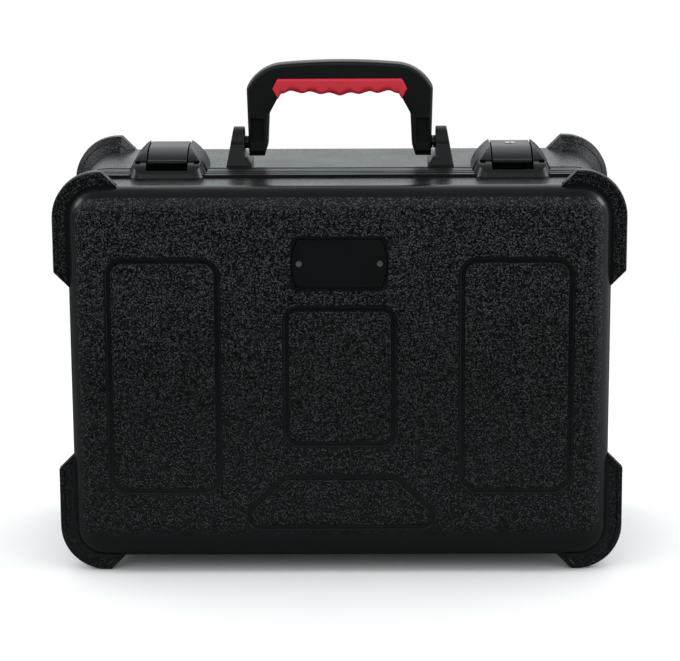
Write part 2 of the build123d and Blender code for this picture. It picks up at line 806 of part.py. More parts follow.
def make_bow():
    """The handle's moulded bow with two legs, each with a pocket front and back."""
    bow = slab(bow_outline(), -bow_t / 2, bow_t / 2)
    bow = fillet(bow.faces().filter_by(Axis.Y).edges(), bow_edge_r)
    side_view = Pos(0, bow_rise / 2) * Rectangle(bow_t, bow_rise) + Circle(leg_end_r)
    bow &= bar(side_view, -bow_half_w, bow_half_w)
    sides = grip_ends(grip_fit)
    seat = rounded_ends(make_face(sides + Line(sides @ 1, sides @ 0)))
    bow -= slab(seat, -bow_t / 2, bow_t / 2)
    pocket_x = (leg_half_in + leg_chamfer_w + leg_half_out - pocket_r) / 2
    for x in (-pocket_x, pocket_x):
        mouth = Pos(x, pocket_low + pocket_h / 2) * RectangleRounded(pocket_w, pocket_h, pocket_r)
        bow -= slab(mouth, -bow_t / 2, -bow_t / 2 + pocket_d)
        bow -= slab(mouth, bow_t / 2 - pocket_d, bow_t / 2)
    boss = axle(leg_half_out - over, bow_half_w, 0, 0, pivot_boss_r)
    bow += boss + left_of(boss)
    bow -= axle(-bow_half_w - over, bow_half_w + over, 0, 0, pivot_pin_r + pin_clear)
    return at_pivot(bow)


def make_grip():
    """Red soft grip in the bow's seat, a little wider than the bow."""
    grip = slab(grip_outline(), -grip_t / 2, grip_t / 2)
    return at_pivot(fillet(grip.faces().filter_by(Axis.Y).edges(), grip_edge_r))


def make_bracket():
    """Right handle bracket: a tower with a boss on a foot, clear of the valance."""
    front_view = Polygon((bracket_toe_x, -pivot_h), (bracket_out_x, -pivot_h),
                         (bracket_top_x, bracket_tower_r), (bracket_in_x, bracket_tower_r),
                         (bracket_in_x, bracket_step_h - pivot_h),
                         (bracket_toe_x, bracket_toe_h - pivot_h), align=None)
    foot_h = bracket_foot_t - pivot_h
    side_view = Polygon((-bracket_half_l, -pivot_h), (bracket_half_l, -pivot_h),
                        (bracket_half_l, foot_h), (bracket_tower_r, 0),
                        (-bracket_tower_r, 0), (-bracket_half_l, foot_h), align=None)
    side_view += Circle(bracket_tower_r)
    tower = slab(front_view, -bracket_half_l, bracket_half_l)
    tower &= bar(side_view, bracket_toe_x, bracket_out_x)
    upper = tower.edges().filter_by(lambda e: (e @ 0.5).Z > bracket_edge_r - pivot_h)
    tower = fillet(upper, bracket_edge_r)
    tower += axle(bow_half_w + pivot_gap, bracket_in_x + over, 0, 0, pivot_boss_r)
    tower -= axle(0, pivot_pin_out + fastener_clear, 0, 0, pivot_pin_r + fastener_clear)
    tower = at_pivot(tower)
    tower -= box(0, shell_w, parting_y, base_valance_y, roof_z, roof_z + valance_t)
    return drilled(tower, bracket_screws())


def make_pivot_pin():
    """Right pivot pin, fixed in the bracket, on which the bow's leg turns."""
    return at_pivot(axle(pivot_pin_in, pivot_pin_out, 0, 0, pivot_pin_r))


def make_backing_plate():
    """Right steel plate inside the roof that spreads the handle's pull."""
    plate = box(backing_x - backing_half_w, backing_x + backing_half_w,
                handle_y - backing_half_l, handle_y + backing_half_l,
                roof_inside_z - backing_t, roof_inside_z)
    return drilled(plate, bracket_screws())


def make_hinge_leaf(side, hx):
    """One hinge leaf: side -1 is the lid's with the middle knuckle, +1 the base's."""
    half, mid = hinge_w / 2, hinge_w * hinge_mid_share / 2
    far = parting_y + side * hinge_leaf_l
    leaf = box(hx - half, hx + half, *sorted((far, parting_y)),
               hinge_leaf_z - hinge_leaf_t, hinge_leaf_z)
    near = hinge_knuckle_r + hinge_slot_clear
    if side < 0:
        own = [(-mid + hinge_slot_clear, mid - hinge_slot_clear)]
        other = [(-half - over, -mid + hinge_slot_clear), (mid - hinge_slot_clear, half + over)]
    else:
        own = [(-half, -mid), (mid, half)]
        other = [(-mid, mid)]
    for x0, x1 in other:
        leaf -= box(hx + x0, hx + x1, parting_y - near, parting_y + near, 0, floor_z)
    for x0, x1 in own:
        leaf += axle(hx + x0, hx + x1, parting_y, hinge_axis_z, hinge_knuckle_r)
    leaf -= axle(hx - half, hx + half, parting_y, hinge_axis_z, hinge_pin_r + pin_clear)
    return drilled(leaf, hinge_rivets(side))


def make_hinge_pin(hx):
    """Steel pin through all three knuckles."""
    return axle(hx - hinge_w / 2, hx + hinge_w / 2, parting_y, hinge_axis_z, hinge_pin_r)


def drop_centres():
    """Centres of the microphone drops, column by column."""
    lowest = mid_z - foam_top_gap / 2 - drop_pitch_z * (drop_rows - 1) / 2
    return [(drop_first_x + c * drop_pitch_x, lowest + r * drop_pitch_z)
            for c in range(drop_columns) for r in range(drop_rows)]


def make_drop_foam():
    """Base foam block with the microphone drops and the accessory well."""
    outline = mouth_outline(-wall - foam_clear)
    outline &= Pos(0, mid_z - foam_top_gap) * Rectangle(shell_w, shell_h)
    for x, z in drop_centres():
        outline -= Pos(x, z) * RectangleRounded(drop_w, drop_h, drop_r)
    outline -= Pos(tray_x, mid_z - foam_top_gap / 2) * RectangleRounded(tray_w, tray_h, tray_r)
    return slab(outline, foam_face_y, back_y - wall - floor_pad_t)


def make_floor_pad():
    """Foam pad behind the drops, against the base's back wall."""
    return slab(mouth_outline(-pad_inset), back_y - wall - floor_pad_t, back_y - wall)


def make_lid_pad():
    """Foam pad against the inside of the lid's face."""
    return slab(mouth_outline(-pad_inset), front_y + wall, front_y + wall + lid_pad_t)


def both(solid):
    """A part and its mirror image, as separate solids of one node."""
    return [solid, left_of(solid)]


parts = {
    "lid_shell": make_lid_shell(),
    "base_shell": make_base_shell(),
    "lid_valance": make_lid_valance(),
    "base_valance": make_base_valance(),
    "valance_seal": make_seal(),
    "name_plate": make_name_plate(),
    "name_plate_rivets": make_plate_rivets(),
    "handle_bow": make_bow(),
    "handle_grip": make_grip(),
    "handle_bracket_right": make_bracket(),
    "handle_bracket_left": left_of(make_bracket()),
    "handle_pivot_pins": both(make_pivot_pin()),
    "handle_backing_plates": both(make_backing_plate()),
    "handle_bracket_screws": screws(bracket_screws()),
    "latch_housing_screws": screws(housing_screws()),
    "keeper_hood_screws": screws(keeper_screws()),
    "lock_cylinder": make_lock_cylinder(),
    "lock_cam": make_lock_cam(),
    "hinge_rivets_lid": rivets(hinge_rivets(-1)),
    "hinge_rivets_base": rivets(hinge_rivets(1)),
    "drop_foam": make_drop_foam(),
    "floor_pad": make_floor_pad(),
    "lid_pad": make_lid_pad(),
}
for name, side in (("left", -1), ("right", 1)):
    parts["latch_housing_" + name] = make_housing(side)
    parts["latch_paddle_" + name] = make_paddle(side)
    parts["latch_paddle_pin_" + name] = make_paddle_pin(side)
    parts["latch_claw_" + name] = make_claw(side)
    parts["latch_claw_pin_" + name] = make_claw_pin(side)
    parts["keeper_hood_" + name] = make_keeper_hood(side)
    parts["keeper_bar_" + name] = make_keeper_bar(side)
    parts["hinge_leaf_lid_" + name] = make_hinge_leaf(-1, side * hinge_x)
    parts["hinge_leaf_base_" + name] = make_hinge_leaf(1, side * hinge_x)
    parts["hinge_pin_" + name] = make_hinge_pin(side * hinge_x)

os.makedirs("parts", exist_ok=True)
for name, shape in parts.items():
    solids = shape if isinstance(shape, list) else [shape]
    whole = Compound(children=[s for item in solids for s in item.solids()])
    whole.label = name
    export_step(whole, "parts/" + name + ".step")
    low, high = whole.bounding_box().min, whole.bounding_box().max
    print(f"{name:26s} {len(whole.solids())} solids {whole.volume / 1000:9.2f} cm3 "
          f"X {low.X:7.1f} {high.X:7.1f}  Y {low.Y:7.1f} {high.Y:7.1f}  Z {low.Z:6.1f} {high.Z:6.1f}")
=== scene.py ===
# %% [markdown]
# # A hard microphone case, dressed for the studio
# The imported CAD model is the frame: every solid is already in its place, in metres, standing
# on the floor at z = 0 with the lid towards -Y. This lesson adds the camera, the studio, the
# finishes and the soft pieces. Nothing of the frame is moved or reshaped.

# %% Load the frame
import math

import bpy
import bmesh
from mathutils import Matrix, Vector


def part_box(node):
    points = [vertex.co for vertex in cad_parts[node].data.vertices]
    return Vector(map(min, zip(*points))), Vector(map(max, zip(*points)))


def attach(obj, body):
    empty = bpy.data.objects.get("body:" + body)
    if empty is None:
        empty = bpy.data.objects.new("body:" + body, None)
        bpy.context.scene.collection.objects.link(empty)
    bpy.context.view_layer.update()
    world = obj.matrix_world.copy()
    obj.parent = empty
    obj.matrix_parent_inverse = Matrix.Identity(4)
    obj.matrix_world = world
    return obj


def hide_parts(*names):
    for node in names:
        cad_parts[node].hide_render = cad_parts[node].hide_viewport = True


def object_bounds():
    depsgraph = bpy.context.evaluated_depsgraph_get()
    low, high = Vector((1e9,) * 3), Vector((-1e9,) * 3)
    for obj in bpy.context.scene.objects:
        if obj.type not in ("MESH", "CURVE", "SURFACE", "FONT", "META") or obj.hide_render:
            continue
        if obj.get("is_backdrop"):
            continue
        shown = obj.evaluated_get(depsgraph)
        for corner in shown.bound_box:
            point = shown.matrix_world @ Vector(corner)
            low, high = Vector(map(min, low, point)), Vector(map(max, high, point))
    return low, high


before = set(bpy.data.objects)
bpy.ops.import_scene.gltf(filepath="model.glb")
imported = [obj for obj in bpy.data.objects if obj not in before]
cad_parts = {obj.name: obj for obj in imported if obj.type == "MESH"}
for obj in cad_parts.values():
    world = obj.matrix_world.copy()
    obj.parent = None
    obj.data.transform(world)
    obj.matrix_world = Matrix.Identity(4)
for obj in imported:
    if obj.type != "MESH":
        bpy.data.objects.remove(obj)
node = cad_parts
cad_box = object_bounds()

# %% Millimetres
MM = 0.001
print("one millimetre is", MM, "Blender units")

# %% [markdown]
# ## Camera
# The photograph was taken from some way off with a long lens, a little above the case and a
# hair to the right of its middle. A long lens keeps the upright edges parallel. The place,
# pitch, yaw and roll below were found by fitting the case's edges, so no lens shift is needed.

# %% Place the camera
PHOTO_PLACE = Vector((24.5, -2182.9, 692.2)) * MM
PHOTO_PITCH, PHOTO_YAW, PHOTO_ROLL = (math.radians(a) for a in (13.122, 0.669, 0.325))
PHOTO_FOCAL_PX, PHOTO_WIDTH_PX = 2600, 680
photo_lens = bpy.data.cameras.new("photo_lens")
photo_lens.sensor_width = 36.0
photo_lens.lens = PHOTO_FOCAL_PX / PHOTO_WIDTH_PX * photo_lens.sensor_width
photo_lens.clip_start, photo_lens.clip_end = 0.05, 50.0
photo_camera = bpy.data.objects.new("photo_camera", photo_lens)
bpy.context.scene.collection.objects.link(photo_camera)
photo_camera.matrix_world = (
    Matrix.Translation(PHOTO_PLACE)
    @ Matrix.Rotation(PHOTO_YAW, 4, "Z")
    @ Matrix.Rotation(math.pi / 2 - PHOTO_PITCH, 4, "X")
    @ Matrix.Rotation(-PHOTO_ROLL, 4, "Z")
)
bpy.context.scene.camera = photo_camera
print("lens", round(photo_lens.lens, 2), "mm")

# %% [markdown]
# ## Node helpers
# Every finish below is a small network of shader nodes. A few helpers keep them readable:
# they add a node, feed a value or a link into a socket, do arithmetic, mix two colours, and
# build or place a node group.

# %% Add a node and feed its sockets
def add_node(tree, kind, **settings):
    """A new node with some of its settings."""
    made = tree.nodes.new(kind)
    for key, value in settings.items():
        setattr(made, key, value)
    return made


def feed(tree, value, socket):
    """A link where value is a socket, else a plain value."""
    if isinstance(value, bpy.types.NodeSocket):
        tree.links.new(value, socket)
    else:
        socket.default_value = value


def place_on(tree, kind="Object"):
    """Where the shaded point is; Object counts in metres from the piece's own origin."""
    return add_node(tree, "ShaderNodeTexCoord").outputs[kind]


def split(tree, vector):
    """The X, Y and Z sockets of a vector."""
    made = add_node(tree, "ShaderNodeSeparateXYZ")
    feed(tree, vector, made.inputs[0])
    return made.outputs


print("sockets can be fed")


# %% Arithmetic and colours
def sum_up(tree, operation, *values):
    """One Math node; the values are numbers or sockets."""
    made = add_node(tree, "ShaderNodeMath", operation=operation)
    for value, socket in zip(values, made.inputs):
        feed(tree, value, socket)
    return made.outputs[0]


def product(tree, first, *others):
    """Several values multiplied together."""
    for other in others:
        first = sum_up(tree, "MULTIPLY", first, other)
    return first


def ramp_between(tree, value, low, high, at_low=0.0, at_high=1.0):
    """A soft step: at_low below low, at_high above high."""
    made = add_node(tree, "ShaderNodeMapRange", interpolation_type="SMOOTHSTEP")
    for socket, number in zip(made.inputs, (value, low, high, at_low, at_high)):
        feed(tree, number, socket)
    return made.outputs[0]


def two_tones(tree, factor, first, second):
    """A colour between two; each is a plain colour or a socket."""
    made = add_node(tree, "ShaderNodeMix", data_type="RGBA")
    feed(tree, factor, made.inputs["Factor"])
    for colour, socket in ((first, made.inputs["A"]), (second, made.inputs["B"])):
        plain = not isinstance(colour, bpy.types.NodeSocket)
        feed(tree, (*colour, 1.0) if plain else colour, socket)
    return made.outputs["Result"]


print("arithmetic ready")

# %% Node groups
NUMBER, VECTOR = "NodeSocketFloat", "NodeSocketVector"


def new_group(name, takes, gives):
    """An empty node group with named sockets; takes and gives are (label, kind, value) rows."""
    tree = bpy.data.node_groups.new(name, "ShaderNodeTree")
    for label, kind, value in takes:
        socket = tree.interface.new_socket(name=label, in_out="INPUT", socket_type=kind)
        socket.default_value = value
    for label, kind in gives:
        tree.interface.new_socket(name=label, in_out="OUTPUT", socket_type=kind)
    entry, leave = add_node(tree, "NodeGroupInput"), add_node(tree, "NodeGroupOutput")
    return tree, entry.outputs, leave.inputs


def use_group(tree, group, **values):
    """Places a group; its inputs are given by name, with _ for a space."""
    made = add_node(tree, "ShaderNodeGroup", node_tree=group)
    for key, value in values.items():
        feed(tree, value, made.inputs[key.replace("_", " ")])
    return made.outputs


print("group helpers ready")

# %% [markdown]
# ## Studio
# The photograph is a cut-out on white, lit softly from above, with a faint contact shadow.
# Real studio walls would need many lamps, so the world plays their part. The camera sees it
# white. Gloss sees walls that are dark at the floor and the ceiling, duller to the left and
# behind the camera, with a glow at both sides. That is why the case's top shines while its
# face stays black. All other rays get an even, slightly cool light.

# %% Which rays look at the walls
world = bpy.data.worlds.new("white_studio")
world.use_nodes = True
bpy.context.scene.world = world
bpy.context.scene.view_settings.view_transform = "Standard"
tree = world.node_tree
tree.nodes.clear()
rays = add_node(tree, "ShaderNodeLightPath").outputs
by_camera = rays["Is Camera Ray"]
mirrored = sum_up(tree, "MAXIMUM", rays["Is Glossy Ray"], rays["Is Transmission Ray"])
straight = sum_up(tree, "MAXIMUM", by_camera, mirrored)
print("rays sorted")

# %% Light of the walls
# Each row is an axis of the ray's direction, from, to, light at from and light at to.
WALL_STEPS = [
    ("Z", -0.02, 0.17, 0.02, 1.0),  # dark at the floor
    ("Z", 0.72, 0.95, 1.0, 0.25),  # dull at the ceiling
    ("Y", -0.55, 0.15, 0.45, 1.0),  # duller behind the camera
    ("X", -0.8, -0.3, 0.5, 1.0),  # duller to the left
]
LEFT_GLOW = [("Z", -0.05, 0.10, 1.0, 0.0), ("X", -0.85, -0.45, 0.22, 0.0)]
RIGHT_GLOW = [("X", 0.40, 0.80, 0.0, 0.6)]
toward = split(tree, place_on(tree, "Generated"))


def by_direction(steps):
    """Soft steps over the ray's direction, multiplied together."""
    return product(tree, *(ramp_between(tree, toward[axis], *step) for axis, *step in steps))


wall_light = by_direction(WALL_STEPS)
for glow in (LEFT_GLOW, RIGHT_GLOW):
    wall_light = sum_up(tree, "MAXIMUM", wall_light, by_direction(glow))
print("walls have", len(WALL_STEPS), "steps and two glows")

# %% Join the walls and the even light
WALL_TINT, PURE_WHITE = (0.93, 1.0, 1.01), (1.0, 1.0, 1.0)
EVEN_COLOUR, EVEN_STRENGTH = (0.95, 0.985, 1.0, 1.0), 0.95
even_light = add_node(tree, "ShaderNodeBackground")
even_light.inputs["Color"].default_value = EVEN_COLOUR
even_light.inputs["Strength"].default_value = EVEN_STRENGTH
walls = add_node(tree, "ShaderNodeBackground")
feed(tree, two_tones(tree, by_camera, WALL_TINT, PURE_WHITE), walls.inputs["Color"])
feed(tree, sum_up(tree, "MAXIMUM", by_camera, wall_light), walls.inputs["Strength"])
joined = add_node(tree, "ShaderNodeMixShader")
for socket, value in zip(joined.inputs, (straight, even_light.outputs[0], walls.outputs[0])):
    feed(tree, value, socket)
feed(tree, joined.outputs[0], add_node(tree, "ShaderNodeOutputWorld").inputs["Surface"])
print("world ready")

# %% [markdown]
# ## Softboxes
# A wide softbox over the case gives most of the light and the contact shadow. It is kept out
# of the gloss, where the walls already stand. A weak one in front opens the face, and one at
# each side draws the highlights on the rounded edges and the handle.

# %% Hang the softboxes
# Each row is a name, place, point aimed at, width and height, watts and whether gloss sees it.
SOFTBOXES = [
    ("overhead_softbox", (0.0, 0.15, 1.75), (0.0, 0.0, 0.2), (2.4, 2.0), 16.0, False),
    ("front_softbox", (-0.9, -1.9, 1.5), (0.0, 0.0, 0.2), (0.9, 0.9), 1.5, True),
    ("right_softbox", (1.75, -0.15, 1.25), (0.2, 0.0, 0.3), (0.7, 0.7), 7.0, True),
    ("left_softbox", (-1.75, -0.15, 1.25), (-0.2, 0.0, 0.3), (0.7, 0.7), 5.5, True),
]
for name, place, aim, size, watts, in_gloss in SOFTBOXES:
    lamp = bpy.data.lights.new(name, "AREA")
    lamp.shape = "RECTANGLE"
    lamp.size, lamp.size_y = size
    lamp.energy = watts
    holder = bpy.data.objects.new(name, lamp)
    bpy.context.scene.collection.objects.link(holder)
    look = (Vector(aim) - Vector(place)).to_track_quat("-Z", "Y")
    holder.matrix_world = Matrix.Translation(place) @ look.to_matrix().to_4x4()
    holder.visible_glossy = in_gloss
print("softboxes", len(SOFTBOXES))


# %% A finish: material with its own Principled BSDF
def new_finish(name, colour, roughness, metallic=0.0, specular=0.5):
    """A material whose even values sit on the shader's own sockets."""
    made = bpy.data.materials.new(name)
    made.use_nodes = True
    shader = made.node_tree.nodes["Principled BSDF"]
    shader.inputs["Base Color"].default_value = (*colour, 1.0)
    shader.inputs["Roughness"].default_value = roughness
    shader.inputs["Metallic"].default_value = metallic
    shader.inputs["Specular IOR Level"].default_value = specular
    return made, made.node_tree, shader


print("finish helper ready")

# %% [markdown]
# ## Floor
# A round white floor catches the contact shadow. It turns clear with distance, so its edge
# never shows against the white world. Gloss sees it much darker, which keeps the underside
# of the case and the lower guards black.

# %% Paint of the floor
FLOOR_WHITE, FLOOR_IN_GLOSS = (0.97, 0.97, 0.97), (0.13, 0.13, 0.13)
FADE_FROM, FADE_TO = 0.34, 0.85
floor_paint, tree, shader = new_finish("pale_floor", FLOOR_WHITE, 0.6, specular=0.2)
away = add_node(tree, "ShaderNodeVectorMath", operation="LENGTH")
feed(tree, place_on(tree), away.inputs[0])
fade = ramp_between(tree, away.outputs["Value"], FADE_FROM, FADE_TO, 1.0, 0.0)
feed(tree, fade, shader.inputs["Alpha"])
in_gloss = add_node(tree, "ShaderNodeLightPath").outputs["Is Glossy Ray"]
feed(tree, two_tones(tree, in_gloss, FLOOR_WHITE, FLOOR_IN_GLOSS), shader.inputs["Base Color"])
print("floor fades from", FADE_FROM, "to", FADE_TO, "metres")

# %% Lay the floor
FLOOR_RADIUS = 3.0
floor_mesh = bpy.data.meshes.new("studio_floor")
floor_maker = bmesh.new()
bmesh.ops.create_circle(floor_maker, cap_ends=True, segments=96, radius=FLOOR_RADIUS)
floor_maker.to_mesh(floor_mesh)
floor_maker.free()
floor_mesh.materials.append(floor_paint)
studio_floor = bpy.data.objects.new("studio_floor", floor_mesh)
bpy.context.scene.collection.objects.link(studio_floor)
studio_floor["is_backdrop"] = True
print("floor laid")

# %% [markdown]
# ## Shared surface effects
# The case is one family of black finishes that differ in grain and gloss. Each effect is a
# node group with named inputs, built once and placed in a finish with its own values.
# Coordinates are the object's own, in metres, so a grain keeps its size and its place when
# the lid or the handle moves.

# %% [markdown]
# ### Pebble grain
# The shells carry a coarse moulded grain of small pebbles, a few of which catch much more
# light than the rest; that glint is painted in colour. Noise would give soft clouds, so the cells
# of a Voronoi texture are used: each cell is one pebble, and its random colour decides how high
# it is and how bright a glint is painted on it.

# %% Group: moulded pebble grain
PEBBLE_TOP, PEBBLE_FOOT = 0.28, 0.80
FEW_BRIGHT = 2.6
LEAST_RISE = 0.4
group, takes, gives = new_group(
    "Pebble grain",
    [("Grain size", NUMBER, 0.0015), ("Where", NUMBER, 1.0)],
    [("Height", NUMBER), ("Painted glint", NUMBER)],
)
cells = add_node(group, "ShaderNodeTexVoronoi")
feed(group, place_on(group), cells.inputs["Vector"])
feed(group, sum_up(group, "DIVIDE", 1.0, takes["Grain size"]), cells.inputs["Scale"])
lot = add_node(group, "ShaderNodeSeparateColor")
feed(group, cells.outputs["Color"], lot.inputs[0])
pebble = ramp_between(group, cells.outputs["Distance"], PEBBLE_TOP, PEBBLE_FOOT, 1.0, 0.0)
share = sum_up(group, "POWER", lot.outputs[0], FEW_BRIGHT)
rise = sum_up(group, "MULTIPLY_ADD", share, 1.0 - LEAST_RISE, LEAST_RISE)
feed(group, product(group, pebble, rise, takes["Where"]), gives["Height"])
# The second output is a painted glint: colour standing for the light caught by the highest pebbles.
feed(group, product(group, pebble, share, takes["Where"]), gives["Painted glint"])
pebble_grain = group
print("pebble grain ready")

# %% [markdown]
# ### Fine mould texture
# Even the smooth plastics aren't perfect: the mould leaves a very fine speckle, and handling
# leaves a haze that changes the gloss from place to place. Two noises give the two values.

# %% Group: fine mould texture
group, takes, gives = new_group(
    "Fine mould texture", [("Fineness", NUMBER, 1800.0)], [("Height", NUMBER), ("Haze", NUMBER)]
)
where = place_on(group)
speckle = add_node(group, "ShaderNodeTexNoise")
feed(group, where, speckle.inputs["Vector"])
feed(group, takes["Fineness"], speckle.inputs["Scale"])
speckle.inputs["Detail"].default_value = 2.0
cloud = add_node(group, "ShaderNodeTexNoise")
feed(group, where, cloud.inputs["Vector"])
cloud.inputs["Scale"].default_value = 22.0
cloud.inputs["Detail"].default_value = 4.0
feed(group, speckle.outputs["Fac"], gives["Height"])
feed(group, cloud.outputs["Fac"], gives["Haze"])
mould_texture = group
print("mould texture ready")

# %% [markdown]
# ### Soft edges
# No moulded or pressed edge is sharp, and the thin light line on it is what the eye reads.
# The CAD edges stay as they are, and a Bevel node bends only the normals.

# %% Group: edges softened by a small bevel
group, takes, gives = new_group("Soft edges", [("Radius", NUMBER, 0.0004)], [("Normal", VECTOR)])
rounding = add_node(group, "ShaderNodeBevel", samples=6)
feed(group, takes["Radius"], rounding.inputs["Radius"])
feed(group, rounding.outputs["Normal"], gives["Normal"])
soft_edges = group
print("soft edges ready")

# %% [markdown]
# ### Distance to an outline
# The grain starts and stops at rounded outlines on the face. A painted mask would need a
# picture, so the distance to a rounded box is worked out from the coordinates instead.

# %% Group: distance to a rounded box on the case's face
group, takes, gives = new_group(
    "Distance to rounded box",
    [("Across", NUMBER, 0.0), ("Up", NUMBER, 0.0), ("Half width", NUMBER, 0.1),
     ("Half height", NUMBER, 0.1), ("Radius", NUMBER, 0.01)],
    [("Distance", NUMBER)],
)
past_x, past_z = (
    sum_up(group, "SUBTRACT", sum_up(group, "ABSOLUTE", takes[along_axis]),
           sum_up(group, "SUBTRACT", takes[half], takes["Radius"]))
    for along_axis, half in (("Across", "Half width"), ("Up", "Half height"))
)
out_x, out_z = (sum_up(group, "MAXIMUM", v, 0.0) for v in (past_x, past_z))
squares = (sum_up(group, "MULTIPLY", v, v) for v in (out_x, out_z))
beyond = sum_up(group, "SQRT", sum_up(group, "ADD", *squares))
within = sum_up(group, "MINIMUM", sum_up(group, "MAXIMUM", past_x, past_z), 0.0)
to_box = sum_up(group, "SUBTRACT", sum_up(group, "ADD", beyond, within), takes["Radius"])
feed(group, to_box, gives["Distance"])
box_distance = group
print("box distance ready")


# %% Use the box distance
def outline_distance(tree, across, up, half_w, half_h, radius):
    """Distance to one rounded outline, below zero inside it."""
    return use_group(tree, box_distance, Across=across, Up=up, Half_width=half_w,
                     Half_height=half_h, Radius=radius)["Distance"]


print("outlines ready")

# %% Haze and bump for a finish
HAZE_LOW, HAZE_HIGH = 0.3, 0.7


def drift_gloss(tree, shader, haze, glossy, dull):
    """Roughness that drifts between two values with the haze."""
    drift = ramp_between(tree, haze, HAZE_LOW, HAZE_HIGH, glossy, dull)
    feed(tree, drift, shader.inputs["Roughness"])


def add_bump(tree, shader, height, depth, strength=1.0, under=None):
    """A Bump node whose full height is depth metres."""
    made = add_node(tree, "ShaderNodeBump")
    made.inputs["Strength"].default_value = strength
    made.inputs["Distance"].default_value = depth
    feed(tree, height, made.inputs["Height"])
    if under is not None:
        feed(tree, under, made.inputs["Normal"])
    feed(tree, made.outputs["Normal"], shader.inputs["Normal"])
    return made.outputs["Normal"]


print("haze and bump ready")

# %% [markdown]
# ## Shell plastic
# The shells and their guards are moulded in black with a coarse pebble grain. The tool was
# polished where the grain would tear: on the rounded edges of the face and in a narrow band
# along each groove. So the grain gets a mask from distances to those outlines. It also fades
# out at the lower edge of the face, and the glints painted on its pebbles are painted brighter
# towards the top.

# %% Outlines on the face
# A panel is a half width, a half height and a corner radius.
case_low, case_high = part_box("lid_shell")
MIDDLE_Z = (case_low.z + case_high.z) / 2
GUARD_STAND = 12.25 * MM
SHELL_HALF_W, SHELL_HALF_H = case_high.x - GUARD_STAND, case_high.z - MIDDLE_Z - GUARD_STAND
SHELL_OUTLINE = (SHELL_HALF_W, SHELL_HALF_H, 26.0 * MM)
TALL_OFF, TALL_PANEL = 145.0 * MM, (45.5 * MM, 98.5 * MM, 14.0 * MM)
MIDDLE_PANEL = (45.0 * MM, 58.25 * MM, 10.5 * MM)
PLATE_UP, PLATE_SEAT = 95.0 * MM, (38.0 * MM, 21.0 * MM, 5 * MM)
print("panels centred", round(MIDDLE_Z, 4), "above the floor")

# %% Outline of the wide low panel
# Its upper corners are cut off by a slanted line from the shoulder.
LOW_TOP, LOW_H, LOW_HALF_W = -85.0 * MM, 45.0 * MM, 77.0 * MM
LOW_SHOULDER, LOW_SOFT = 46 * MM, 6 * MM
SLANT_ACROSS, SLANT_UP = 0.683, 0.730
print("low panel", round(2 * LOW_HALF_W / MM), "by", round(LOW_H / MM), "mm")

# %% Where the grain starts and stops
# Each pair is a soft step, measured from an outline, from the middle height or from depth 0.
GROOVE_BAND, BAND_SOFT = (-3.0 * MM, 2.2 * MM), 0.6 * MM
PLATE_STEP = (1.4 * MM, 2.6 * MM)
FACE_RIM_STEP = (-8.4 * MM, -7.0 * MM)
FOOT_STEP = (-149 * MM, -122 * MM)
FACE_DEPTH = 106.6 * MM
SIDE_STEP, SIDE_DEPTH, SIDE_SHARE = (-1.5 * MM, -0.5 * MM), (88.0 * MM, 91.0 * MM), 0.3
GUARD_STEP, GUARD_SHARE = (0.8 * MM, 1.6 * MM), 0.7
print("groove band", [round(v / MM, 1) for v in GROOVE_BAND], "mm")

# %% Group: where the shell is grained
group, _, gives = new_group("Grained field", [], [("Grained", NUMBER)])
x, y, z = split(group, place_on(group))
up = sum_up(group, "SUBTRACT", z, MIDDLE_Z)
wide, deep = (sum_up(group, "ABSOLUTE", v) for v in (x, y))
rim = outline_distance(group, x, up, *SHELL_OUTLINE)
tall_panel = outline_distance(group, sum_up(group, "SUBTRACT", wide, TALL_OFF), up, *TALL_PANEL)
middle_panel = outline_distance(group, x, up, *MIDDLE_PANEL)
plate_seat = outline_distance(group, x, sum_up(group, "SUBTRACT", up, PLATE_UP), *PLATE_SEAT)
print("rim, panels and plate seat measured")


# %% The same group: distance to the low panel
def soft_max(tree, one, other):
    """The larger of two distances, with a rounded change from one to the other."""
    return sum_up(tree, "SMOOTH_MAX", one, other, LOW_SOFT)


above = sum_up(group, "SUBTRACT", up, LOW_TOP)
below = sum_up(group, "SUBTRACT", LOW_TOP - LOW_H, up)
beside = sum_up(group, "SUBTRACT", wide, LOW_HALF_W)
past_shoulder = sum_up(group, "SUBTRACT", wide, LOW_SHOULDER)
slant = sum_up(group, "ADD", sum_up(group, "MULTIPLY", past_shoulder, SLANT_ACROSS),
               sum_up(group, "MULTIPLY", above, SLANT_UP))
low_panel = soft_max(group, soft_max(group, above, below), soft_max(group, beside, slant))

# Only the lid has the low panel and the plate's seat: on the base they go a metre away.
off_lid = sum_up(group, "SUBTRACT", 1.0, sum_up(group, "LESS_THAN", y, 0.0))
low_panel, plate_seat = (sum_up(group, "ADD", v, off_lid) for v in (low_panel, plate_seat))
print("low panel measured")


# %% The same group: face, sides and guards
def off_band(tree, distance, inner, outer):
    """0 inside a band about an outline, 1 away from it."""
    from_middle = sum_up(tree, "SUBTRACT", distance, (inner + outer) / 2)
    reach = (outer - inner) / 2
    return ramp_between(tree, sum_up(tree, "ABSOLUTE", from_middle),
                        reach - BAND_SOFT, reach + BAND_SOFT)


on_face = product(
    group,
    *(off_band(group, panel, *GROOVE_BAND) for panel in (tall_panel, middle_panel, low_panel)),
    ramp_between(group, plate_seat, *PLATE_STEP),
    ramp_between(group, rim, *FACE_RIM_STEP, 1.0, 0.0),
    ramp_between(group, up, *FOOT_STEP),
    sum_up(group, "GREATER_THAN", deep, FACE_DEPTH),
)
on_side = product(group, ramp_between(group, rim, *SIDE_STEP),
                  ramp_between(group, deep, *SIDE_DEPTH, SIDE_SHARE, 0.0))
on_guard = ramp_between(group, rim, *GUARD_STEP, 0.0, GUARD_SHARE)
grained = sum_up(group, "MAXIMUM", on_face, sum_up(group, "MAXIMUM", on_side, on_guard))
feed(group, grained, gives["Grained"])
grained_field = group
print("grained field ready")

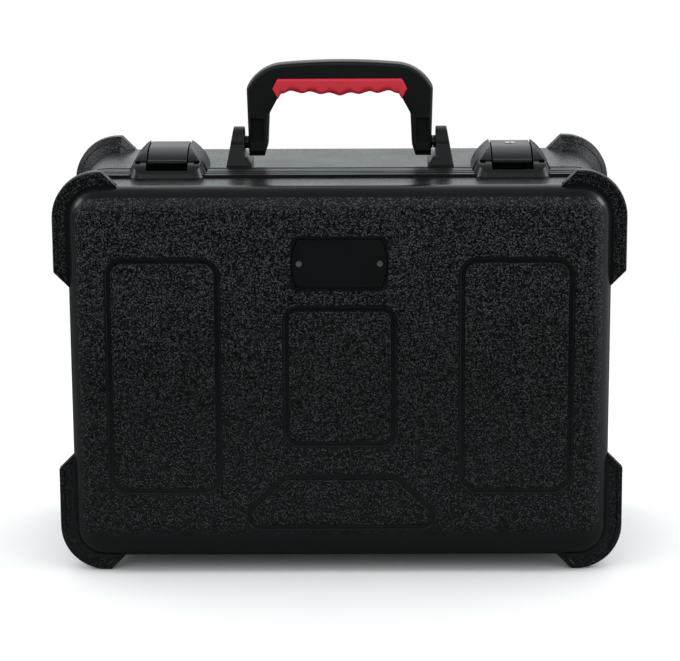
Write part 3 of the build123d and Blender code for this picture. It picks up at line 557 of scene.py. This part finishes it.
# %% [markdown]
# ### Lip of the guards
# Each corner guard ends in a narrow raised lip that runs round its arms and along their
# slanted ends. It is about a millimetre high, so a bump draws it: the distance from the
# guard's edge, or from the nearer slanted end, says where the lip is.

# %% Places of the guards' arms
FULL_W, FULL_H = SHELL_HALF_W + GUARD_STAND, SHELL_HALF_H + GUARD_STAND
TOP_ARM_X = SHELL_HALF_W - 29 * MM
SIDE_ARM_UP, SIDE_ARM_DOWN = FULL_H - 83 * MM, FULL_H - 87.5 * MM
ARM_CHANGE = 1 * MM
END_SLANT = 0.7071
LIP_SOFT, LIP_STOP = 0.7 * MM, (11.0 * MM, 11.4 * MM)
print("top arms start", round(TOP_ARM_X / MM, 1), "mm from the middle")

# %% Group: raised lip round the guards' front
group, takes, gives = new_group("Guard lip", [("Width", NUMBER, 0.0045)], [("Height", NUMBER)])
x, _, z = split(group, place_on(group))
up = sum_up(group, "SUBTRACT", z, MIDDLE_Z)
wide, high_by = (sum_up(group, "ABSOLUTE", v) for v in (x, up))
rim = outline_distance(group, x, up, *SHELL_OUTLINE)
from_edge = sum_up(group, "SUBTRACT", GUARD_STAND, rim)
from_top_end = sum_up(group, "ADD", sum_up(group, "SUBTRACT", wide, TOP_ARM_X),
                      sum_up(group, "SUBTRACT", FULL_H, high_by))
side_end = ramp_between(group, up, -ARM_CHANGE, ARM_CHANGE, SIDE_ARM_DOWN, SIDE_ARM_UP)
from_side_end = sum_up(group, "ADD", sum_up(group, "SUBTRACT", high_by, side_end),
                       sum_up(group, "SUBTRACT", FULL_W, wide))
from_end = product(group, sum_up(group, "MINIMUM", from_top_end, from_side_end), END_SLANT)
inward = sum_up(group, "SUBTRACT", sum_up(group, "MINIMUM", from_edge, from_end), takes["Width"])
lip = ramp_between(group, inward, -LIP_SOFT, LIP_SOFT, 1.0, 0.0)
on_guard = ramp_between(group, from_edge, *LIP_STOP, 1.0, 0.0)
feed(group, product(group, lip, on_guard), gives["Height"])
guard_lip = group
print("guard lip ready")

# %% [markdown]
# ### The finish of the shells
# Painted light does most of the work: the shade between the pebbles is painted nearly black,
# and glints on the brightest pebbles are painted dark grey. The bumps lie on each other: mould
# texture, lip, grain.

# %% Shell plastic finish
SMOOTH_TONE = (0.0040, 0.0045, 0.0048)
# Painted shade fills the gaps between pebbles, and painted glints light the highest pebbles.
SHADE_BETWEEN_PEBBLES, PAINTED_PEBBLE_GLINT = (0.0004, 0.0005, 0.0005), (0.048, 0.054, 0.057)
GLINT_STEP = (MIDDLE_Z - 30 * MM, MIDDLE_Z + 140 * MM)
GLINT_LOW, GLINT_HIGH = 0.75, 1.5
shell_plastic, tree, shader = new_finish("shell_plastic", SMOOTH_TONE, 0.24, specular=0.42)
field = use_group(tree, grained_field)["Grained"]
grain = use_group(tree, pebble_grain, Grain_size=1.1 * MM, Where=field)
fine = use_group(tree, mould_texture, Fineness=1500.0)
# Painted highlight: the glints painted on the pebbles grow brighter towards the top.
glints_brighter_up = ramp_between(tree, split(tree, place_on(tree))["Z"], *GLINT_STEP, GLINT_LOW, GLINT_HIGH)
painted_glint_tone = product(tree, grain["Painted glint"], glints_brighter_up)
painted_pebble_light = two_tones(tree, painted_glint_tone, SHADE_BETWEEN_PEBBLES, PAINTED_PEBBLE_GLINT)
feed(tree, two_tones(tree, field, SMOOTH_TONE, painted_pebble_light), shader.inputs["Base Color"])
drift_gloss(tree, shader, fine["Haze"], 0.20, 0.27)
lip = use_group(tree, guard_lip, Width=4.5 * MM)["Height"]
under = add_bump(tree, shader, fine["Height"], 0.02 * MM, 0.5)
under = add_bump(tree, shader, lip, 1.2 * MM, 1.0, under)
add_bump(tree, shader, grain["Height"], 0.30 * MM, 1.0, under)
print("shell plastic ready")

# %% [markdown]
# ## Metal, rubber and smooth plastics
# The valances are black aluminium with a satin coat. Latches are a smoother moulding than
# the shell, and the handle is satin. Pins and the lock's cam are bare steel, screws and
# rivets are zinc-coated, the hinges are dark steel and the lock is nickel. The claws and
# keeper bars are painted near black: that is the shade of the pocket under the paddle, painted
# on the steel. One function makes all the smooth blacks and one makes all the metals.

# %% Smooth finishes with softened edges
def smooth_finish(name, colour, glossy, dull, specular, edge, depth=0.02):
    """A plain finish: hazy gloss, a fine mould texture and edges that catch the light."""
    made, tree, shader = new_finish(name, colour, glossy, specular=specular)
    fine = use_group(tree, mould_texture, Fineness=1600.0)
    drift_gloss(tree, shader, fine["Haze"], glossy, dull)
    edges = use_group(tree, soft_edges, Radius=edge * MM)["Normal"]
    add_bump(tree, shader, fine["Height"], depth * MM, 0.5, edges)
    return made


valance_black = smooth_finish(
    "valance_aluminium", (0.0065, 0.0072, 0.0075), glossy=0.34, dull=0.42, specular=0.32, edge=0.35)
latch_black = smooth_finish(
    "latch_body", (0.0052, 0.0058, 0.0062), glossy=0.26, dull=0.34, specular=0.5, edge=0.6)
paddle_black = smooth_finish(
    "latch_paddle", (0.0046, 0.0052, 0.0055), glossy=0.26, dull=0.32, specular=0.5, edge=0.4)
handle_black = smooth_finish(
    "handle_plastic", (0.0044, 0.0050, 0.0053), glossy=0.34, dull=0.42, specular=0.45, edge=0.5,
    depth=0.03)
print("smooth finishes ready")

# %% Red soft grip
GRIP_DEEP_RED, GRIP_LIGHT_RED = (0.55, 0.015, 0.030), (0.64, 0.019, 0.038)
grip_red, tree, shader = new_finish("grip_rubber", (0.60, 0.018, 0.035), 0.5, specular=0.4)
fine = use_group(tree, mould_texture, Fineness=1400.0)
reds = two_tones(tree, fine["Haze"], GRIP_DEEP_RED, GRIP_LIGHT_RED)
feed(tree, reds, shader.inputs["Base Color"])
add_bump(tree, shader, fine["Height"], 0.03 * MM, 0.6)
print("grip red ready")

# %% Name plate
plate_grey, tree, shader = new_finish("name_plate_metal", (0.0040, 0.0045, 0.0048), 0.32,
                                      specular=0.3)
fine = use_group(tree, mould_texture, Fineness=700.0)
drift_gloss(tree, shader, fine["Haze"], 0.28, 0.38)
add_bump(tree, shader, fine["Height"], 0.008 * MM, 0.4)
print("name plate ready")

# %% Seal rubber
seal_black, tree, shader = new_finish("seal_rubber", (0.012, 0.012, 0.012), 0.7, specular=0.3)
fine = use_group(tree, mould_texture, Fineness=1500.0)
add_bump(tree, shader, fine["Height"], 0.03 * MM, 0.6)
print("seal rubber ready")


# %% Steels and nickel
def bare_metal(name, colour, smooth, worn):
    """A metal whose gloss changes in soft clouds."""
    made, tree, shader = new_finish(name, colour, smooth, metallic=1.0)
    fine = use_group(tree, mould_texture, Fineness=900.0)
    drift_gloss(tree, shader, fine["Haze"], smooth, worn)
    add_bump(tree, shader, fine["Height"], 0.01 * MM, 0.4)
    return made


steel = bare_metal("steel", (0.52, 0.52, 0.53), 0.26, 0.38)
# Painted shade: the claws and keeper bars are painted near black for the shade of the pocket they
# sit in.
pocket_shade_steel = bare_metal("steel_in_pocket_shade", (0.012, 0.012, 0.013), 0.45, 0.55)
zinc = bare_metal("screw_steel", (0.50, 0.50, 0.48), 0.32, 0.48)
hinge_steel = bare_metal("hinge_steel", (0.045, 0.046, 0.05), 0.38, 0.5)
nickel = bare_metal("lock_metal", (0.60, 0.59, 0.56), 0.18, 0.28)
print("metals ready")

# %% [markdown]
# ### Foam
# Charcoal foam has open pores and no gloss. The cells of a Voronoi texture are the pores:
# shade is painted dark in their middles, the walls between them keep the paler foam colour,
# and the same distance makes the bump.

# %% Foam finish
# Painted shade: the hollow middle of each pore is painted darker than the foam.
PORE_SHADE, PORE_WALL = (0.008, 0.008, 0.009), (0.030, 0.030, 0.033)
PORE_STEP = (0.15, 0.6)
foam_grey, tree, shader = new_finish("foam", (0.020, 0.020, 0.022), 0.95, specular=0.15)
pores = add_node(tree, "ShaderNodeTexVoronoi")
feed(tree, place_on(tree), pores.inputs["Vector"])
pores.inputs["Scale"].default_value = 900.0
walls_of_pores = ramp_between(tree, pores.outputs["Distance"], *PORE_STEP)
feed(tree, two_tones(tree, walls_of_pores, PORE_SHADE, PORE_WALL), shader.inputs["Base Color"])
add_bump(tree, shader, pores.outputs["Distance"], 0.4 * MM, 0.9)
print("foam ready")

# %% [markdown]
# ## Dressing the frame
# Every CAD node gets one finish. The table goes from finish to nodes, so a look at it says
# what is made of what, and a node that was forgotten is printed.

# %% Which node wears which finish
wears = {
    shell_plastic: ["lid_shell", "base_shell"],
    valance_black: ["lid_valance", "base_valance"],
    seal_black: ["valance_seal"],
    plate_grey: ["name_plate"],
    handle_black: ["handle_bow", "handle_bracket_left", "handle_bracket_right"],
    grip_red: ["handle_grip"],
    zinc: ["handle_bracket_screws", "latch_housing_screws", "keeper_hood_screws",
           "name_plate_rivets", "handle_backing_plates"],
    hinge_steel: ["hinge_rivets_lid", "hinge_rivets_base"],
    nickel: ["lock_cylinder"],
    steel: ["handle_pivot_pins", "lock_cam"],
    foam_grey: ["drop_foam", "floor_pad", "lid_pad"],
    latch_black: [],
    paddle_black: [],
    pocket_shade_steel: [],
}
for side in ("left", "right"):
    wears[latch_black] += ["latch_housing_" + side, "keeper_hood_" + side]
    wears[paddle_black] += ["latch_paddle_" + side]
    wears[steel] += [kind + side for kind in ("latch_paddle_pin_", "latch_claw_pin_", "hinge_pin_")]
    wears[pocket_shade_steel] += ["latch_claw_" + side, "keeper_bar_" + side]
    wears[hinge_steel] += ["hinge_leaf_lid_" + side, "hinge_leaf_base_" + side]
for finish, names in wears.items():
    for name in names:
        mesh = node[name].data
        mesh.materials.clear()
        mesh.materials.append(finish)
bare = sorted(set(node) - {name for names in wears.values() for name in names})
print("nodes dressed", sum(len(names) for names in wears.values()), "left bare", bare)

# %% [markdown]
# ## The red grip
# The grip is a soft rubber moulding in the bow's seat, with pointed ends and finger waves
# below. Its lower edge is rounded much more in each hollow than on each rise, and that draws
# the row of small arches on its front. A lofted row of cross-sections gives both the wave
# and the changing roundness, which a plain solid with one edge radius can't.

# %% Profile of the grip
# Millimetres from the middle and above the pivot; the lower line holds the waves' turns.
pin_low, pin_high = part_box("handle_pivot_pins")
PIVOT = Vector((0.0, (pin_low.y + pin_high.y) / 2, (pin_low.z + pin_high.z) / 2))
GRIP_TIP, GRIP_TOP = (57.2, 46.5), (52.4, 55.4)
GRIP_LOW = [(0.0, 40.5), (9.9, 42.7), (16.4, 41.7), (25.8, 43.8), (32.2, 42.5), (41.5, 44.5),
            (49.1, 42.2), (52.8, 37.8)]
GRIP_HOOK = GRIP_LOW[-1][0]
GRIP_HALF_T = 11.0


def along(points, x):
    """Height at x on a smooth line through points, in millimetres."""
    for (x0, z0), (x1, z1) in zip(points, points[1:]):
        if x <= x1:
            share = (x - x0) / (x1 - x0)
            return z0 + (z1 - z0) * (1 - math.cos(math.pi * share)) / 2
    return points[-1][1]


def grip_span(x):
    """Lowest and highest point of the grip at x."""
    x = abs(x)
    low, high = along(GRIP_LOW, min(x, GRIP_HOOK)), GRIP_TOP[1]
    if x > GRIP_HOOK:
        low += (GRIP_TIP[1] - low) * (x - GRIP_HOOK) / (GRIP_TIP[0] - GRIP_HOOK)
    if x > GRIP_TOP[0]:
        high += (GRIP_TIP[1] - high) * (x - GRIP_TOP[0]) / (GRIP_TIP[0] - GRIP_TOP[0])
    return low, high


print("grip at its middle", grip_span(0.0), "at its hook", grip_span(GRIP_HOOK))

# %% Cross-section of the grip
TIP_R, UPPER_R, LOWER_R, HOLLOW_R = 3.0, 2.6, 3.4, 3.4
FINGER_PITCH, FINGER_SHIFT, FINGERS_END = 15.9, 0.1, 50
MOST_OF_HEIGHT, SLIT = 0.48, 0.1
CORNER_STEPS = 8


def section(x):
    """One loop of the grip: rounded rectangle, rounder below in the finger hollows."""
    low, high = grip_span(x)
    tall_by = high - low
    slip = max(0.0, abs(x) - (GRIP_TIP[0] - TIP_R))
    half = GRIP_HALF_T - (TIP_R - math.sqrt(max(TIP_R * TIP_R - slip * slip, 0.0)))
    finger = 2 * math.pi * (abs(x) / FINGER_PITCH + FINGER_SHIFT)
    hollow = 0.5 - 0.5 * math.cos(finger) if abs(x) < FINGERS_END else 0.0
    below = min(LOWER_R + HOLLOW_R * hollow, tall_by * MOST_OF_HEIGHT, half - SLIT)
    above = min(UPPER_R, tall_by * MOST_OF_HEIGHT, half - SLIT)
    corners = (
        (half - below, low + below, below, -0.5),
        (half - above, high - above, above, 0.0),
        (above - half, high - above, above, 0.5),
        (below - half, low + below, below, 1.0),
    )
    loop = []
    for cy, cz, r, turn in corners:
        for step in range(CORNER_STEPS + 1):
            angle = math.pi * (turn + step / (2 * CORNER_STEPS))
            spot = Vector((x, cy + r * math.cos(angle), cz + r * math.sin(angle)))
            loop.append(spot * MM + PIVOT)
    return loop


print("points in a section", len(section(0.0)))

# %% Loft the grip
STATIONS, END_GAP = 220, 0.02
grip_maker = bmesh.new()
span = 2 * GRIP_TIP[0] - 2 * END_GAP
stations = [-GRIP_TIP[0] + END_GAP + span * i / STATIONS for i in range(STATIONS + 1)]
rows = [[grip_maker.verts.new(v) for v in section(x)] for x in stations]
for row, nxt in zip(rows, rows[1:]):
    for i in range(len(row)):
        j = (i + 1) % len(row)
        grip_maker.faces.new((row[i], row[j], nxt[j], nxt[i]))
grip_maker.faces.new(rows[0])
grip_maker.faces.new(list(reversed(rows[-1])))
bmesh.ops.recalc_face_normals(grip_maker, faces=grip_maker.faces)
print("grip faces", len(grip_maker.faces))


# %% Turn a mesh in the making into a piece
def new_piece(maker, name, finish):
    """A smooth-shaded object made from a bmesh."""
    mesh = bpy.data.meshes.new(name)
    maker.to_mesh(mesh)
    maker.free()
    mesh.materials.append(finish)
    mesh.polygons.foreach_set("use_smooth", [True] * len(mesh.polygons))
    made = bpy.data.objects.new(name, mesh)
    bpy.context.scene.collection.objects.link(made)
    return made


soft_grip = new_piece(grip_maker, "soft_grip", grip_red)
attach(soft_grip, "handle")
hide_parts("handle_grip")

# %% [markdown]
# ## Foam pieces
# The base holds a block of charcoal foam, cut through with fifteen drops for hand
# microphones and a well for cables, on a thin backing pad. The lid holds a pad of egg-crate
# foam that presses on the microphones' heads. A flat curve with holes makes the block, as
# its bevel softens every cut edge at once, and a grid of waves makes the egg crate.

# %% Rounded outlines for foam
def rounded_loop(cx, cz, half_w, half_h, radius, steps=8):
    """Points round a rounded rectangle, in millimetres."""
    points = []
    for sx, sz, turn in ((1, 1, 0), (-1, 1, 1), (-1, -1, 2), (1, -1, 3)):
        for i in range(steps + 1):
            angle = math.pi / 2 * (turn + i / steps)
            points.append((cx + sx * (half_w - radius) + radius * math.cos(angle),
                           cz + sz * (half_h - radius) + radius * math.sin(angle)))
    return points


print("points in a loop", len(rounded_loop(0, 0, 10, 10, 2)))


# %% Plates of foam from a flat curve
def foam_plate(name, loops, y0, y1, soft):
    """A plate between two Y places with holes and softened edges, as a mesh object."""
    curve = bpy.data.curves.new(name, "CURVE")
    curve.dimensions, curve.fill_mode = "2D", "BOTH"
    curve.extrude = (y1 - y0) / 2 * MM - soft * MM
    curve.bevel_depth, curve.bevel_resolution, curve.offset = soft * MM, 3, -soft * MM
    for loop in loops:
        spline = curve.splines.new("POLY")
        spline.points.add(len(loop) - 1)
        for point, (px, pz) in zip(spline.points, loop):
            point.co = (px * MM, pz * MM, 0.0, 1.0)
        spline.use_cyclic_u = True
    holder = bpy.data.objects.new(name + "_outline", curve)
    bpy.context.scene.collection.objects.link(holder)
    bpy.context.view_layer.update()
    shaped = holder.evaluated_get(bpy.context.evaluated_depsgraph_get())
    mesh = bpy.data.meshes.new_from_object(shaped)
    bpy.data.objects.remove(holder)
    upright = Matrix.Rotation(math.pi / 2, 4, "X")
    mesh.transform(Matrix.Translation((0, (y0 + y1) / 2 * MM, 0)) @ upright)
    mesh.materials.clear()
    mesh.materials.append(foam_grey)
    made = bpy.data.objects.new(name, mesh)
    bpy.context.scene.collection.objects.link(made)
    return made


def keep_foam(made, stands_for, body):
    """Rides on a body and stands for a CAD pad, which it hides."""
    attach(made, body)
    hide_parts(stands_for)
    low, high = (tuple(round(c / MM, 1) for c in v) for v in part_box(stands_for))
    print(made.name, "stands for", stands_for, low, high)


print("foam helpers ready")

# %% Block with the microphone drops
BLOCK_R, BLOCK_SOFT = 20, 1.5
FOAM_MIDDLE = MIDDLE_Z / MM - 4.25
DROP_COLUMNS, DROP_ROWS = 5, 3
FIRST_DROP, DROP_STEP_X, DROP_STEP_Z = -180, 62, 88
DROP_SIZE = (21, 28, 10)
WELL_X, WELL_SIZE = 158, (43, 116, 12)
low, high = (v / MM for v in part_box("drop_foam"))
loops = [rounded_loop(0, (low.z + high.z) / 2, (high.x - low.x) / 2, (high.z - low.z) / 2, BLOCK_R)]
for column in range(DROP_COLUMNS):
    for row in range(DROP_ROWS):
        x, z = FIRST_DROP + DROP_STEP_X * column, FOAM_MIDDLE + DROP_STEP_Z * (row - 1)
        loops.append(list(reversed(rounded_loop(x, z, *DROP_SIZE))))
loops.append(list(reversed(rounded_loop(WELL_X, FOAM_MIDDLE, *WELL_SIZE))))
drop_block = foam_plate("drop_block", loops, low.y, high.y, BLOCK_SOFT)
keep_foam(drop_block, "drop_foam", "base")

# %% Backing pad
PAD_R, PAD_SOFT = 14, 2.0
low, high = (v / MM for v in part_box("floor_pad"))
loops = [rounded_loop(0, MIDDLE_Z / MM, (high.x - low.x) / 2, (high.z - low.z) / 2, PAD_R)]
backing_pad = foam_plate("backing_pad", loops, low.y, high.y, PAD_SOFT)
keep_foam(backing_pad, "floor_pad", "base")

# %% Waves of the egg crate
CRATE_FOOT, CRATE_RISE, CRATE_PITCH = 13.0, 16.5, 22.0
CRATE_EDGE, LEAST_WAVE = 5.0, 0.25
low, high = (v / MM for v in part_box("lid_pad"))
half_w, half_h = (high.x - low.x) / 2, (high.z - low.z) / 2


def crate_depth(px, pz):
    """How far the pad stands out at a place on it."""
    turn_x, turn_z = 2 * math.pi * px / CRATE_PITCH, 2 * math.pi * pz / CRATE_PITCH
    wave = 0.5 + 0.25 * (math.cos(turn_x) + math.cos(turn_z))
    edge = min(half_w - abs(px), half_h - abs(pz)) / CRATE_EDGE
    return CRATE_FOOT + CRATE_RISE * wave * min(1.0, max(edge, LEAST_WAVE))


print("egg crate", round(2 * half_w), "by", round(2 * half_h), "mm")

# %% Egg-crate pad in the lid
ACROSS, UPWARD = 176, 124
crate = bmesh.new()
grid = []
for j in range(UPWARD + 1):
    pz = -half_h + 2 * half_h * j / UPWARD
    grid.append([])
    for i in range(ACROSS + 1):
        px = -half_w + 2 * half_w * i / ACROSS
        spot = (px * MM, (low.y + crate_depth(px, pz)) * MM, MIDDLE_Z + pz * MM)
        grid[-1].append(crate.verts.new(spot))
for j in range(UPWARD):
    for i in range(ACROSS):
        crate.faces.new((grid[j][i], grid[j][i + 1], grid[j + 1][i + 1], grid[j + 1][i]))
right_edge, left_edge = [row[-1] for row in grid[1:]], [row[0] for row in grid[-2:0:-1]]
edge_loop = grid[0] + right_edge + grid[-1][-2::-1] + left_edge
foot_loop = [crate.verts.new((v.co.x, low.y * MM, v.co.z)) for v in edge_loop]
for i in range(len(edge_loop)):
    j = (i + 1) % len(edge_loop)
    crate.faces.new((edge_loop[i], edge_loop[j], foot_loop[j], foot_loop[i]))
crate.faces.new(foot_loop)
bmesh.ops.recalc_face_normals(crate, faces=crate.faces)
egg_crate = new_piece(crate, "egg_crate_pad", foam_grey)
keep_foam(egg_crate, "lid_pad", "lid")

# %% Sizes of the visual model
made_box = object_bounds()
for label, box in (("cad", cad_box), ("visual", made_box)):
    print(label, [[round(c, 4) for c in v] for v in box])
